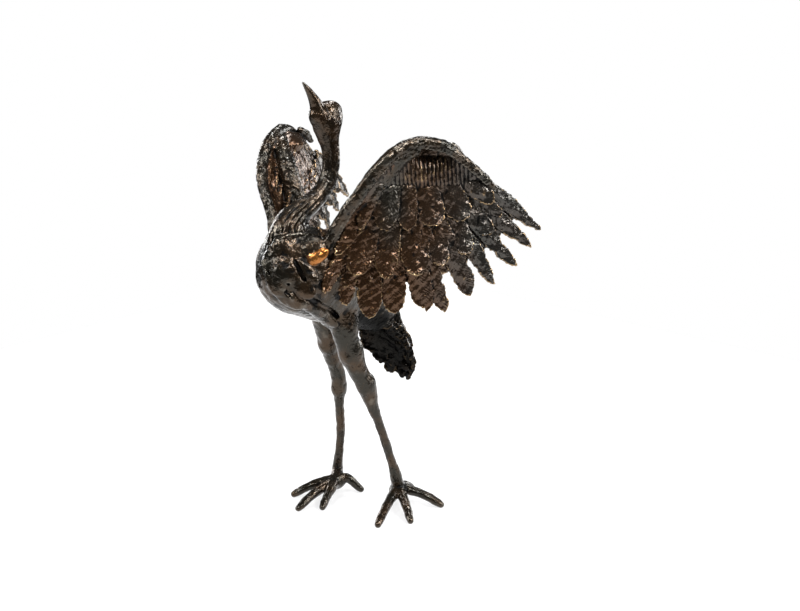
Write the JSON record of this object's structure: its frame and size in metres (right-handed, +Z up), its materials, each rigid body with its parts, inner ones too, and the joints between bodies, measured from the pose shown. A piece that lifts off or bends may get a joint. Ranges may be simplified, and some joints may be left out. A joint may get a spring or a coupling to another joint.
{
  "type": "crane figurine",
  "caption": "Standing crane figurine cast in dark patinated bronze, wings raised, beak lifted, on two long-toed feet.",
  "frame": {"origin": "middle of the bounding box's base, on the ground plane that the toes stand on", "axes": "+Z up, along the bird's height; -Y the way the bird's breast faces; +X the bird's left"},
  "size_m": [0.1534, 0.1408, 0.2514],
  "materials": {
    "bronze": "waxed dark patina"
  },
  "bodies": {
    "root": {"crane_figure": "bronze"}
  },
  "joints": []
}
